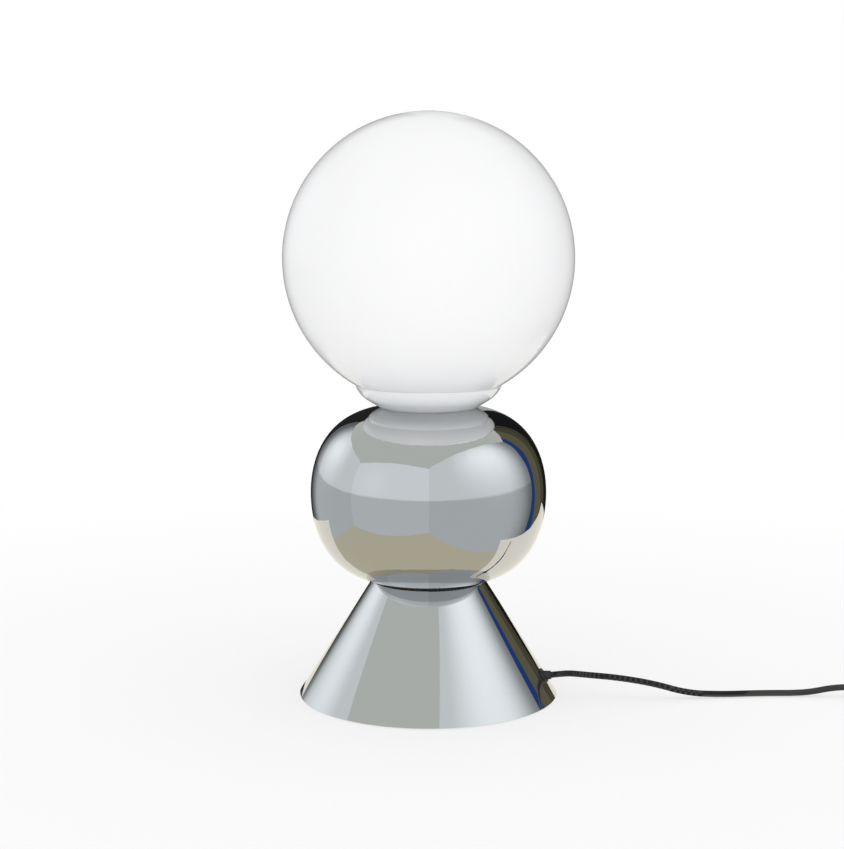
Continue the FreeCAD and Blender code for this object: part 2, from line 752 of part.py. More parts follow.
# ---------------------------------------------------------- tube, nuts
def threaded_tube():
    """Tube through the stack, with a slot in its side where the lead turns up."""
    body = disc(TUBE_RADIUS, TUBE_BOTTOM_Z, TUBE_TOP_Z - TUBE_BOTTOM_Z, TUBE_BORE_RADIUS)
    start = BALLAST_Z + BALLAST_HUB_HEIGHT + 0.6
    width = CORD_DIAMETER + 2 * EASY_FIT
    slot = block((TUBE_RADIUS * 2, width, TUBE_SLOT_HEIGHT), (TUBE_RADIUS, 0, start + TUBE_SLOT_HEIGHT / 2))
    return body.cut(moved(slot, OUTLET_BEARING, Vector(0, 0, 0)))


def lower_nut():
    return hexagon(NUT_FLATS, LOWER_WASHER_Z - NUT_HEIGHT, NUT_HEIGHT, TUBE_HOLE_RADIUS)


def upper_nut():
    return hexagon(NUT_FLATS, UPPER_NUT_Z, NUT_HEIGHT, TUBE_HOLE_RADIUS)


def washer(z):
    return disc(WASHER_RADIUS, z, WASHER_THICKNESS, TUBE_HOLE_RADIUS)


# ----------------------------------------------------------- lampholder
def holder_cap():
    """Lower half: threaded neck, dome and skirt, hollow above the neck."""
    dome_z = HOLDER_Z + HOLDER_NECK_HEIGHT
    skirt_z = HOLDER_Z + HOLDER_CAP_HEIGHT - 6.0
    top_z = HOLDER_Z + HOLDER_CAP_HEIGHT
    wall = HOLDER_WALL
    shoulder = (HOLDER_RADIUS, skirt_z)
    outer = [(TUBE_HOLE_RADIUS, HOLDER_Z), (HOLDER_NECK_RADIUS, HOLDER_Z), (HOLDER_NECK_RADIUS, dome_z)]
    outer += [(HOLDER_RADIUS - 4.0, dome_z + 4.5), shoulder, (HOLDER_RADIUS, top_z)]
    inner = [(HOLDER_RADIUS - wall, top_z), (HOLDER_RADIUS - wall, skirt_z)]
    inner += [(HOLDER_RADIUS - 4.0 - wall, dome_z + 4.5 + wall), (TUBE_HOLE_RADIUS, dome_z + wall)]
    return turned_outline(outer + inner)


def holder_shell():
    """Upper half: plain sleeve screwed over the screw shell."""
    low = HOLDER_Z + HOLDER_CAP_HEIGHT
    top = HOLDER_Z + HOLDER_HEIGHT
    inner = SCREW_SHELL_RADIUS + SCREW_SHELL_WALL + EASY_FIT
    body = disc(HOLDER_RADIUS, low, top - low, inner)
    lip = disc(HOLDER_RADIUS - 2.0, CONTACT_BLOCK_Z + CONTACT_BLOCK_HEIGHT, 3.0, inner)
    return body.fuse(lip).removeSplitter()


def contact_block():
    """Insulating disc that carries the contacts, seated in the cap."""
    return disc(HOLDER_RADIUS - HOLDER_WALL - CLOSE_FIT, CONTACT_BLOCK_Z, CONTACT_BLOCK_HEIGHT)


def screw_shell():
    low = CONTACT_BLOCK_Z + CONTACT_BLOCK_HEIGHT
    height = HOLDER_Z + HOLDER_HEIGHT - 3.0 - low
    return disc(SCREW_SHELL_RADIUS + SCREW_SHELL_WALL, low, height, SCREW_SHELL_RADIUS)


def holder_contacts():
    """Sprung centre tongue and short side tongue on the contact block."""
    low = CONTACT_BLOCK_Z + CONTACT_BLOCK_HEIGHT
    centre = block((4.0, 18.0, 0.5), (0, 0, low + 0.25))
    riser = block((4.0, 0.5, 2.7), (0, 8.75, low + 1.35))
    tongue = block((4.0, 12.0, 0.5), (0, 3.0, low + 2.65))
    side = block((4.0, 2.5, 0.5), (9.0, 0, low + 0.25))
    return Part.makeCompound([centre.multiFuse([riser, tongue]).removeSplitter(), side])


# ----------------------------------------------------------------- bulb
def bulb_levels():
    cap_low = BULB_Z + BULB_TIP_HEIGHT + BULB_INSULATOR_HEIGHT
    return cap_low, cap_low + BULB_CAP_HEIGHT, BULB_Z + BULB_LENGTH - BULB_RADIUS


def bulb_profile(offset):
    """Head radius, neck radius, neck curve and the point where they touch."""
    cap_low, cap_top, head_z = bulb_levels()
    head = BULB_RADIUS - offset
    neck = BULB_CAP_RADIUS - BULB_CAP_WALL - BULB_NECK_GAP - offset
    rise = head_z - cap_top
    curve = (neck ** 2 + rise ** 2 - head ** 2) / (2 * head - 2 * neck)
    centre = at(neck + curve, cap_top)
    head_centre = at(0, head_z)
    touch = head_centre + (centre - head_centre) * (head / (head + curve))
    return head, neck, curve, centre, head_centre, touch


def bulb_glass():
    """Blown pear: a sphere that runs into a neck by one hollow curve."""
    cap_low, cap_top, head_z = bulb_levels()
    low = cap_top - 5.0
    edges = []
    ends = []
    for offset in (0.0, BULB_GLASS):
        head, neck, curve, centre, head_centre, touch = bulb_profile(offset)
        away = touch - centre
        angle = degrees(atan2(away.z, away.x))
        from_head = touch - head_centre
        start = degrees(atan2(from_head.z, from_head.x))
        edges.append(line(at(neck, low), at(neck, cap_top)))
        edges.append(arc_about(centre, curve, 180, angle))
        edges.append(arc_about(head_centre, head, start, 90))
        ends.append((at(neck, low), at(0, head_z + head)))
    edges.append(line(ends[0][0], ends[1][0]))
    edges.append(line(ends[0][1], ends[1][1]))
    return turned(Part.__sortEdges__(edges))


def bulb_cap():
    """Metal cap with a rounded lower shoulder."""
    cap_low, cap_top, head_z = bulb_levels()
    body = disc(BULB_CAP_RADIUS, cap_low, cap_top - cap_low)
    body = fillet_circles(body, 1.2, [(cap_low, BULB_CAP_RADIUS)])
    inside = disc(BULB_CAP_RADIUS - BULB_CAP_WALL, cap_low + BULB_CAP_WALL, cap_top - cap_low)
    eye = disc(5.0, cap_low - 1, 3)
    return body.cut(inside).cut(eye)


def bulb_insulator():
    cap_low = bulb_levels()[0]
    low = BULB_Z + BULB_TIP_HEIGHT
    return turned_outline([(0, low), (4.8, low), (BULB_CAP_RADIUS - 1.6, cap_low), (0, cap_low)])


def bulb_tip():
    low = BULB_Z
    top = low + BULB_TIP_HEIGHT
    return turned_outline([(0, low), (3.7, low), (4.5, low + 0.8), (4.5, top), (0, top)])


# --------------------------------------------------------------- switch
def switch_middle():
    return Vector(SWITCH_START[0] + SWITCH_NOSE + SWITCH_LENGTH / 2, SWITCH_START[1], 0)


def switch_body():
    """Whole outer form, centred on its own middle, with a cone at each end for the cord."""
    body = slab(SWITCH_LENGTH, SWITCH_WIDTH, SWITCH_CORNER, 0, SWITCH_HEIGHT)
    rims = [e for e in body.Edges if abs(e.BoundBox.ZMin - e.BoundBox.ZMax) < 1e-6]
    body = body.makeFillet(SWITCH_EDGE, rims)
    middle = SWITCH_HEIGHT / 2
    for s in (-1, 1):
        root = Vector(s * (SWITCH_LENGTH / 2 - 4.0), 0, middle)
        nose = Part.makeCone(6.0, CORD_RADIUS + 0.9, SWITCH_NOSE + 4.0, root, Vector(s, 0, 0))
        body = body.fuse(nose)
    return body.removeSplitter()


def switch_cavity():
    length = SWITCH_LENGTH - 2 * SWITCH_WALL
    width = SWITCH_WIDTH - 2 * SWITCH_WALL
    return slab(length, width, SWITCH_CORNER - SWITCH_WALL, SWITCH_WALL, SWITCH_HEIGHT - 2 * SWITCH_WALL)


def switch_screw_places():
    return [Vector(-19.0, 8.0, 0), Vector(19.0, -8.0, 0)]


def switch_base():
    """Lower half with its two screw bosses."""
    middle = SWITCH_HEIGHT / 2
    body = switch_body().common(block((200, 100, middle), (0, 0, middle / 2)))
    body = body.cut(switch_cavity())
    for place in switch_screw_places():
        body = body.fuse(rod(3.3, place + Vector(0, 0, SWITCH_WALL - 0.5), Vector(0, 0, 1), middle - SWITCH_WALL + 0.5))
    for place in switch_screw_places():
        body = body.cut(rod(SCREW_RADIUS + CLOSE_FIT, place, Vector(0, 0, 1), middle))
        body = body.cut(rod(SCREW_HEAD_RADIUS + 0.2, place + Vector(0, 0, -1), Vector(0, 0, 1), 3.0))
    return moved(body.removeSplitter(), 0, switch_middle())


def rocker_pivot():
    return Vector(0, 0, SWITCH_HEIGHT - SWITCH_WALL - 2.0)


def switch_cover():
    """Upper half with the rocker's window, two ears for its pin and two bosses."""
    middle = SWITCH_HEIGHT / 2
    pivot = rocker_pivot()
    body = switch_body().common(block((200, 100, middle), (0, 0, middle * 1.5)))
    body = body.cut(switch_cavity())
    for place in switch_screw_places():
        body = body.fuse(rod(3.3, place + Vector(0, 0, middle), Vector(0, 0, 1), middle - SWITCH_WALL + 0.5))
    ear_height = SWITCH_HEIGHT - SWITCH_WALL - pivot.z + 2.2
    for s in (-1, 1):
        ear = block((6.0, 2.0, ear_height + 0.5), (0, s * (ROCKER_WIDTH / 2 + EASY_FIT + 1.2), 0))
        ear.translate(Vector(0, 0, SWITCH_HEIGHT - SWITCH_WALL + 0.5 - (ear_height + 0.5) / 2))
        body = body.fuse(ear)
    window = block((ROCKER_LENGTH + 0.8, ROCKER_WIDTH + 0.8, 10.0), (0, 0, SWITCH_HEIGHT))
    body = body.cut(window)
    body = body.cut(rod(ROCKER_PIN_RADIUS + ROCKER_PIN_GAP, pivot + Vector(0, -9, 0), Vector(0, 1, 0), 18))
    for place in switch_screw_places():
        body = body.cut(rod(SCREW_RADIUS + CLOSE_FIT, place + Vector(0, 0, middle - 1), Vector(0, 0, 1), 6.0))
    return moved(body.removeSplitter(), 0, switch_middle())


def switch_rocker():
    """Rocker with a shallow V on top; its ends follow a circle about the pin."""
    radius = ROCKER_LENGTH / 2
    top = 4.0
    corner = sqrt(radius ** 2 - top ** 2)
    low = 1.5
    side = sqrt(radius ** 2 - low ** 2)
    half = ROCKER_WIDTH / 2
    a = Vector(-side, -half, -low)
    b = Vector(side, -half, -low)
    c = Vector(corner, -half, top)
    d = Vector(0, -half, top - 1.0)
    e = Vector(-corner, -half, top)
    right = arc(b, Vector(radius, -half, 0), c)
    left = arc(e, Vector(-radius, -half, 0), a)
    face = Part.Face(Part.Wire([line(a, b), right, line(c, d), line(d, e), left]))
    body = face.extrude(Vector(0, ROCKER_WIDTH, 0))
    reach = half + EASY_FIT + 1.8
    body = body.fuse(rod(ROCKER_PIN_RADIUS, Vector(0, -reach, 0), Vector(0, 1, 0), 2 * reach))
    body.rotate(Vector(0, 0, 0), Vector(0, 1, 0), ROCKER_TILT)
    return moved(body.removeSplitter(), 0, switch_middle() + rocker_pivot())


def switch_screws():
    up = Vector(0, 0, 1)
    middle = switch_middle()
    parts = [screw(middle + place + up * 2.0, up, 10.5) for place in switch_screw_places()]
    return Part.makeCompound(parts)


def switch_contacts():
    """Two bent brass strips on the floor of the lower half."""
    parts = []
    for s in (-1, 1):
        foot = block((9.0, 4.0, 0.6), (s * 8.0, 0, SWITCH_WALL + 0.3))
        post = block((0.6, 4.0, 6.0), (s * 3.8, 0, SWITCH_WALL + 3.0))
        strip = foot.fuse(post).removeSplitter()
        parts.append(moved(strip, 0, switch_middle()))
    return Part.makeCompound(parts)


# ------------------------------------------------------------- coil tie
def coil_tie():
    """Flat band closed round the turns on the coil's near-lamp side."""
    low, high = coil_levels()
    centre = coil_centre()
    first = 0.5 if COIL_HALF_TURNS % 2 == 0 else 0.0
    inner = coil_radius(first) - CORD_RADIUS - TIE_SIDE_GAP
    outer = coil_radius(COIL_HALF_TURNS - 1.5) + CORD_RADIUS + TIE_SIDE_GAP
    bottom = low - CORD_RADIUS - TIE_GAP
    top = high + CORD_RADIUS + TIE_GAP
    width = outer - inner
    height = top - bottom
    hole = slab(width, height, TIE_CORNER, -1, TIE_WIDTH + 2)
    band = slab(width + 2 * TIE_THICKNESS, height + 2 * TIE_THICKNESS, TIE_CORNER + TIE_THICKNESS, 0, TIE_WIDTH)
    band = band.cut(hole)
    band.rotate(Vector(0, 0, 0), Vector(1, 0, 0), 90)
    band.translate(centre + Vector(-(inner + outer) / 2, TIE_WIDTH / 2, (bottom + top) / 2))
    return band


# ----------------------------------------------------------------- plug
def plug_frame(shape):
    """Carry a shape modelled along +X from the cord's inlet to its place."""
    return moved(shape, PLUG_HEADING, plug_inlet())


def upright_outline(width, height, corner, x):
    wire = rounded_outline(width, height, corner, 0)
    wire.rotate(Vector(0, 0, 0), Vector(1, 0, 0), 90)
    wire.rotate(Vector(0, 0, 0), Vector(0, 0, 1), 90)
    wire.translate(Vector(x, 0, 0))
    return wire


def plug_body():
    """Moulded body: flat at the pins, drawn in to a ribbed strain relief."""
    back = PLUG_RELIEF
    front = PLUG_RELIEF + PLUG_LENGTH
    sections = [
        upright_outline(13.0, 11.0, 5.2, back),
        upright_outline(20.0, 12.6, 5.4, back + 0.3 * PLUG_LENGTH),
        upright_outline(PLUG_WIDTH - 2.0, PLUG_THICKNESS - 0.2, 6.0, back + 0.72 * PLUG_LENGTH),
        upright_outline(PLUG_WIDTH, PLUG_THICKNESS, 6.2, front),
    ]
    body = Part.makeLoft(sections, True, False)
    root = 5.2
    tip = CORD_RADIUS + 0.9
    relief = Part.makeCone(tip, root, PLUG_RELIEF + 1, Vector(0, 0, 0), Vector(1, 0, 0))
    for k in range(4):
        x = 4.5 + 4.2 * k
        here = tip + (root - tip) * x / PLUG_RELIEF
        groove = rod(here + 1.0, Vector(x, 0, 0), Vector(1, 0, 0), 1.6)
        relief = relief.cut(groove.cut(rod(here - 0.8, Vector(x - 1, 0, 0), Vector(1, 0, 0), 4)))
    body = body.fuse(relief).removeSplitter()
    ahead = Vector(1, 0, 0)
    for s in (-1, 1):
        place = Vector(front - PIN_ROOT, s * PIN_SPACING / 2, 0)
        body = body.cut(rod(PIN_CORE_RADIUS + CLOSE_FIT, place, ahead, PIN_ROOT + 1))
        body = body.cut(rod(PIN_COLLAR_RADIUS + CLOSE_FIT, place, ahead, PIN_COLLAR + CLOSE_FIT))
    return plug_frame(body)


def plug_pins():
    """Two round pins: a collar moulded into the body, a thin core under the sleeve and a bare end."""
    front = PLUG_RELIEF + PLUG_LENGTH
    ahead = Vector(1, 0, 0)
    parts = []
    for s in (-1, 1):
        root = Vector(front - PIN_ROOT, s * PIN_SPACING / 2, 0)
        collar = rod(PIN_COLLAR_RADIUS, root, ahead, PIN_COLLAR)
        core = rod(PIN_CORE_RADIUS, root, ahead, PIN_ROOT + PIN_SLEEVE + 1)
        bare = root + ahead * (PIN_ROOT + PIN_SLEEVE)
        straight = PIN_LENGTH - PIN_SLEEVE - PIN_CHAMFER
        end = rod(PIN_RADIUS, bare, ahead, straight)
        point = Part.makeCone(PIN_RADIUS, PIN_RADIUS - PIN_CHAMFER, PIN_CHAMFER, bare + ahead * straight, ahead)
        parts.append(plug_frame(collar.multiFuse([core, end, point]).removeSplitter()))
    return Part.makeCompound(parts)


def plug_sleeves():
    front = PLUG_RELIEF + PLUG_LENGTH
    parts = []
    for s in (-1, 1):
        start = Vector(front, s * PIN_SPACING / 2, 0)
        ahead = Vector(1, 0, 0)
        bore = PIN_CORE_RADIUS + PIN_SLEEVE_FIT
        outer = rod(bore + PIN_SLEEVE_WALL, start, ahead, PIN_SLEEVE)
        parts.append(plug_frame(outer.cut(rod(bore, start - ahead, ahead, PIN_SLEEVE + 2))))
    return Part.makeCompound(parts)


# ---------------------------------------------------------------- build
NODES = {
    "glass_globe": glass_globe,
    "globe_seal": globe_seal,
    "globe_cup": globe_cup,
    "chrome_ball": chrome_ball,
    "spacer_ring": spacer_ring,
    "chrome_cone": chrome_cone,
    "ballast_weight": ballast_weight,
    "bottom_cover": bottom_cover,
    "cover_screws": cover_screws,
    "foot_ring": foot_ring,
    "threaded_tube": threaded_tube,
    "lower_nut": lower_nut,
    "lower_washer": lambda: washer(LOWER_WASHER_Z),
    "upper_nut": upper_nut,
    "upper_washer": lambda: washer(CUP_FLOOR_Z),
    "holder_cap": holder_cap,
    "holder_shell": holder_shell,
    "holder_contact_block": contact_block,
    "holder_screw_shell": screw_shell,
    "holder_contacts": holder_contacts,
    "bulb_glass": bulb_glass,
    "bulb_cap": bulb_cap,
    "bulb_insulator": bulb_insulator,
    "bulb_tip": bulb_tip,
    "cord_outlet": cord_outlet,
    "cord_clamp": cord_clamp,
    "clamp_screws": clamp_screws,
    "inner_lead": lambda: tube_along("inner_lead", lead_points()),
    "cord_free": lambda: tube_along("cord_free", free_points()),
    "switch_base": switch_base,
    "switch_cover": switch_cover,
    "switch_rocker": switch_rocker,
    "switch_contacts": switch_contacts,
    "switch_screws": switch_screws,
    "cord_link": lambda: tube_along("cord_link", link_points()),
    "cord_coil": cord_coil,
    "coil_tie": coil_tie,
    "cord_tail": lambda: tube_along("cord_tail", tail_points()),
    "plug_body": plug_body,
    "plug_pins": plug_pins,
    "plug_sleeves": plug_sleeves,
}

os.makedirs("parts", exist_ok=True)
for name, make in NODES.items():
    shape = make()
    shape.exportStep(f"parts/{name}.step")
    box = shape.BoundBox
    print(
        f"{name}: solids {len(shape.Solids)}, valid {shape.isValid()}, volume {shape.Volume:.1f}, "
        f"x {box.XMin:.2f}..{box.XMax:.2f}, y {box.YMin:.2f}..{box.YMax:.2f}, z {box.ZMin:.2f}..{box.ZMax:.2f}"
    )
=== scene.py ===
import bmesh
import bpy
import json
from math import cos, pi, radians, sin, sqrt
from mathutils import Matrix, Vector


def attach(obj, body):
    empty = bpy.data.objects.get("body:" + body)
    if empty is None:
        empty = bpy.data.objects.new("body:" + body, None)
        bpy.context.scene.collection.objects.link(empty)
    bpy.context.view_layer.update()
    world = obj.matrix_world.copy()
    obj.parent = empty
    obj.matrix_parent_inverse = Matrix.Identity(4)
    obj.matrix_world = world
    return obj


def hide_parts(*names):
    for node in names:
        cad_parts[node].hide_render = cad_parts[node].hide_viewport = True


# Looks of the glass globe table lamp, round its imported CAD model: +Z up, -Y towards the viewer.
# Blender works in metres. Routes and turned profiles are written in millimetres, as in part.py.
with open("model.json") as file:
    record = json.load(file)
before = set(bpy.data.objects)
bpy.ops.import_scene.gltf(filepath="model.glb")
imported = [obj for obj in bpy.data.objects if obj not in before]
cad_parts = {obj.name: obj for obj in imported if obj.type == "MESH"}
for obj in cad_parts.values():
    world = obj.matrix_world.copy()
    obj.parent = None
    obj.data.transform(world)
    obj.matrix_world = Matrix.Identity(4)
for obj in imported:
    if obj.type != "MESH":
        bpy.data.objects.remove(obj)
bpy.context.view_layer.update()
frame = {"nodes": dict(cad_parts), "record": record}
nodes = frame["nodes"]
MM = 0.001

# --------------------------------------------------------------- camera
# Solved from the outlines of the globe, ball and cone in the photograph.
CAMERA_DISTANCE = 1.5
CAMERA_HEIGHT = 0.4353
CAMERA_SIDE = -0.0056
CAMERA_PITCH = 7.514
CAMERA_LENS = 74.07


def make_camera():
    camera = bpy.data.cameras.new("camera")
    camera.lens = CAMERA_LENS
    camera.sensor_width = 36.0
    camera.sensor_fit = "AUTO"
    camera.clip_start = 0.01
    camera.clip_end = 50.0
    holder = bpy.data.objects.new("camera", camera)
    holder.location = (CAMERA_SIDE, -CAMERA_DISTANCE, CAMERA_HEIGHT)
    holder.rotation_euler = (radians(90.0 - CAMERA_PITCH), 0.0, 0.0)
    bpy.context.scene.collection.objects.link(holder)
    bpy.context.scene.camera = holder


# ----------------------------------------------------------------- cord
CORD_DIAMETER = 5.4
OUTLET_POINT = Vector((106.807, -18.833, 19.874))
OUTLET_HEADING = Vector((0.97524, -0.17196, 0.13917))
SWITCH_IN = Vector((378.0, -18.0, 8.5))
SWITCH_OUT = Vector((450.0, -18.0, 8.5))
SWITCH_BOSSES = [(395.0, -10.0, 2.0), (433.0, -26.0, 2.0)]
COIL_CENTRE_X = 500.0
COIL_INNER_RADIUS = 21.4
COIL_STEP = 7.1
COIL_LOW = 3.8
COIL_HIGH = 10.0
COIL_HALF_TURNS = 6
COIL_POINTS = 10
PLUG_INLET = Vector((543.925, 65.875, 6.85))
PLUG_HEADING = 80.0
PLUG_BURIED = 20.0
CORD_POINTS_IN_VIEW = 9


def coil_radius(k):
    return COIL_INNER_RADIUS + COIL_STEP / 2 * k


def half_turn(centre, start, end, z_start, z_end, last=1.0):
    """Control points on the half circle from one end of a diameter along Y to the other, anticlockwise."""
    middle = (start + end) / 2
    radius = abs(start - end) / 2 / (0.75 + 0.25 * cos(pi / COIL_POINTS))
    begin = -pi / 2 if start < end else pi / 2
    points = []
    for k in range(COIL_POINTS):
        share = (k + 0.5) / COIL_POINTS
        if share > last:
            break
        angle = begin + pi * share
        rise = (1 - cos(pi * share)) / 2
        z = z_start + (z_end - z_start) * rise
        points.append(centre + Vector((radius * cos(angle), middle + radius * sin(angle), z)))
    return points


def coil_points():
    """Inwards on the table, one rising half turn, and outwards on top of the first layer."""
    centre = Vector((COIL_CENTRE_X, SWITCH_OUT.y + coil_radius(COIL_HALF_TURNS), 0.0))
    side = -1
    points = []
    for k in range(COIL_HALF_TURNS, 0, -1):
        points += half_turn(centre, side * coil_radius(k), -side * coil_radius(k - 1), COIL_LOW, COIL_LOW)
        side = -side
    points += half_turn(centre, side * coil_radius(0), -side * coil_radius(0), COIL_LOW, COIL_HIGH)
    side = -side
    for k in range(COIL_HALF_TURNS - 1):
        points += half_turn(centre, side * coil_radius(k), -side * coil_radius(k + 1), COIL_HIGH, COIL_HIGH)
        side = -side
    inner, outer = coil_radius(COIL_HALF_TURNS - 1), coil_radius(COIL_HALF_TURNS)
    points += half_turn(centre, side * inner, -side * outer, COIL_HIGH, COIL_HIGH, 0.5)
    return points


def cord_route():
    """The cord from the outlet to the inside of the plug, through the switch."""
    back = Vector((cos(radians(PLUG_HEADING)), sin(radians(PLUG_HEADING)), 0.0))
    free = [
        OUTLET_POINT - OUTLET_HEADING * 0.5,
        OUTLET_POINT + OUTLET_HEADING * 8.0,
        OUTLET_POINT + OUTLET_HEADING * 16.0,
        Vector((140.0, -22.6, 20.7)),
        Vector((166.0, -23.8, 18.6)),
        Vector((196.0, -24.4, 13.6)),
        Vector((225.0, -23.2, 4.9)),
        Vector((254.0, -20.2, 2.75)),
        Vector((292.0, -16.6, 2.95)),
        Vector((330.0, -16.2, 2.75)),
        SWITCH_IN - Vector((24.0, 0.0, 0.0)),
        SWITCH_IN,
    ]
    coil = coil_points()
    start = Vector((COIL_CENTRE_X, SWITCH_OUT.y, COIL_LOW))
    link = [
        SWITCH_OUT,
        SWITCH_OUT + Vector((13.0, 0.0, 0.0)),
        start - Vector((19.4, 0.0, 0.0)),
        start - Vector((5.4, 0.0, 0.0)),
    ]
    exit_x = COIL_CENTRE_X + (coil_radius(COIL_HALF_TURNS - 1) + coil_radius(COIL_HALF_TURNS)) / 2
    leave = Vector((exit_x, SWITCH_OUT.y + coil_radius(COIL_HALF_TURNS) + 1.8, COIL_HIGH))
    tail = [
        leave + Vector((0.0, 5.4, 0.0)),
        leave + Vector((0.0, 17.4, 0.0)),
        PLUG_INLET - back * 12.0,
        PLUG_INLET,
        PLUG_INLET + back * PLUG_BURIED,
    ]
    return free + link + coil + tail


def lead_route():
    """The lead in the base: over the ballast, under its clamp and up the threaded tube."""
    return [
        Vector((84.377, -14.878, 16.673)),
        Vector((77.55, -13.674, 15.699)),
        Vector((64.997, -11.461, 14.0)),
        Vector((49.24, -8.682, 14.2)),
        Vector((29.544, -5.209, 23.7)),
        Vector((4.0, -0.7, 24.1)),
        Vector((0.0, 0.0, 30.0)),
        Vector((0.0, 0.0, 57.7)),
        Vector((0.01, -0.002, 281.2)),
    ]


def tube(name, points, diameter):
    """Round tube along one open NURBS spline with the points, in millimetres, as its control points."""
    curve = bpy.data.curves.new(name, "CURVE")
    curve.dimensions = "3D"
    curve.bevel_depth = diameter / 2 * MM
    curve.bevel_resolution = 6
    curve.use_fill_caps = True
    spline = curve.splines.new("NURBS")
    spline.points.add(len(points) - 1)
    for place, point in zip(spline.points, points):
        place.co = (*(point * MM), 1.0)
    spline.order_u = 3
    spline.use_endpoint_u = True
    spline.resolution_u = 6
    made = bpy.data.objects.new(name, curve)
    bpy.context.scene.collection.objects.link(made)
    return made


def hide_far_cord():
    """Keep the put-away length out of the chrome: it mirrors the cord only as far as the view shows it."""
    cord.visible_glossy = False
    for name in frame["record"]["physics"]["cord_nodes"]:
        nodes[name].visible_glossy = False
    near = tube("cord_near_lamp", cord_route()[:CORD_POINTS_IN_VIEW], CORD_DIAMETER)
    near.data.materials.append(jacket)
    near.visible_camera = False
    near.visible_diffuse = False
    near.visible_shadow = False
    near.visible_transmission = False


# --------------------------------------------------------- stage, light
WHITE = (1.0, 1.0, 1.0, 1.0)
FLOOR_COLOUR = (0.92, 0.92, 0.92, 1.0)
FLOOR_GLOW = 0.6
FLOOR_FADE = (0.25, 1.1)
FLOOR_RADIUS = 4.0
FLOOR_SIDES = 96
WORLD_LEVEL = 0.90
KEY_POWER = 1.2
FILL_POWER = 1.7
LOW_POWER = 2.6
TOP_POWER = 1.9
# the studio room that only the polished metal mirrors, as glowing panels painted with the room's light and
# shade that make painted reflections; turned about the lamp, its floor below the table
ROOM_TURN = -30.0
ROOM_X = (-2.73, 1.40)
ROOM_Y = (-2.40, 2.10)
ROOM_Z = (-1.27, 2.18)
DADO_HEIGHT = 0.22
DADO_RAIL = (-0.06, 0.02)
DADO_SHADE = 0.70
# glow tones of the mirrored room, with its light and shade painted into them
CEILING_TONE = (0.64, 0.67, 0.63)
WALL_TONE = (0.95, 1.0, 1.02)
ROOM_FLOOR_TONE = (0.62, 0.58, 0.44)
TABLE_TONE = (0.98, 0.94, 0.84)
# the far wall's stripes: where each begins, from the right-hand corner, and its colour
STRIPES = [
    (1.40, (0.02, 0.06, 0.22)),
    (1.32, (0.14, 0.13, 0.08)),
    (0.90, (0.08, 0.075, 0.045)),
    (0.52, (0.012, 0.012, 0.010)),
    (0.44, (0.22, 0.21, 0.16)),
    (0.41, (0.012, 0.012, 0.012)),
    (-0.95, (0.40, 0.42, 0.42)),
    (-1.65, (0.02, 0.02, 0.02)),
]
TABLE_LIFT = 0.0004
TABLE_CORNERS = [(-0.53, 0.18), (0.29, -0.10), (0.62, 0.70), (-0.28, 0.70)]


def seen_directly(tree):
    """1 for rays that show the background: straight ones, mirrored ones and ones through glass."""
    path = tree.nodes.new("ShaderNodeLightPath")
    first = tree.nodes.new("ShaderNodeMath")
    first.operation = "MAXIMUM"
    second = tree.nodes.new("ShaderNodeMath")
    second.operation = "MAXIMUM"
    tree.links.new(path.outputs["Is Camera Ray"], first.inputs[0])
    tree.links.new(path.outputs["Is Glossy Ray"], first.inputs[1])
    tree.links.new(first.outputs[0], second.inputs[0])
    tree.links.new(path.outputs["Is Transmission Ray"], second.inputs[1])
    return second.outputs[0]


def make_world():
    world = bpy.data.worlds.new("studio")
    world.use_nodes = True
    tree = world.node_tree
    tree.nodes.clear()
    light = tree.nodes.new("ShaderNodeBackground")
    light.inputs["Color"].default_value = WHITE
    light.inputs["Strength"].default_value = WORLD_LEVEL
    shown = tree.nodes.new("ShaderNodeBackground")
    shown.inputs["Color"].default_value = WHITE
    shown.inputs["Strength"].default_value = 1.0
    mix = tree.nodes.new("ShaderNodeMixShader")
    out = tree.nodes.new("ShaderNodeOutputWorld")
    tree.links.new(seen_directly(tree), mix.inputs["Fac"])
    tree.links.new(light.outputs[0], mix.inputs[1])
    tree.links.new(shown.outputs[0], mix.inputs[2])
    tree.links.new(mix.outputs[0], out.inputs["Surface"])
    bpy.context.scene.world = world


def floor_material():
    material = bpy.data.materials.new("floor")
    material.use_nodes = True
    tree = material.node_tree
    tree.nodes.clear()
    diffuse = tree.nodes.new("ShaderNodeBsdfDiffuse")
    diffuse.inputs["Color"].default_value = FLOOR_COLOUR
    glow = tree.nodes.new("ShaderNodeEmission")
    glow.inputs["Color"].default_value = WHITE
    glow.inputs["Strength"].default_value = 1.0
    place = tree.nodes.new("ShaderNodeTexCoord")
    distance = tree.nodes.new("ShaderNodeVectorMath")
    distance.operation = "LENGTH"
    tree.links.new(place.outputs["Object"], distance.inputs[0])
    fade = tree.nodes.new("ShaderNodeMapRange")
    fade.interpolation_type = "SMOOTHSTEP"
    for socket, value in zip(("From Min", "From Max", "To Min", "To Max"), (*FLOOR_FADE, FLOOR_GLOW, 1.0)):
        fade.inputs[socket].default_value = value
    tree.links.new(distance.outputs["Value"], fade.inputs["Value"])
    share = tree.nodes.new("ShaderNodeMath")
    share.operation = "MULTIPLY"
    tree.links.new(fade.outputs[0], share.inputs[1])
    mix = tree.nodes.new("ShaderNodeMixShader")
    out = tree.nodes.new("ShaderNodeOutputMaterial")
    tree.links.new(seen_directly(tree), share.inputs[0])
    tree.links.new(share.outputs[0], mix.inputs["Fac"])
    tree.links.new(diffuse.outputs[0], mix.inputs[1])
    tree.links.new(glow.outputs[0], mix.inputs[2])
    tree.links.new(mix.outputs[0], out.inputs["Surface"])
    return material


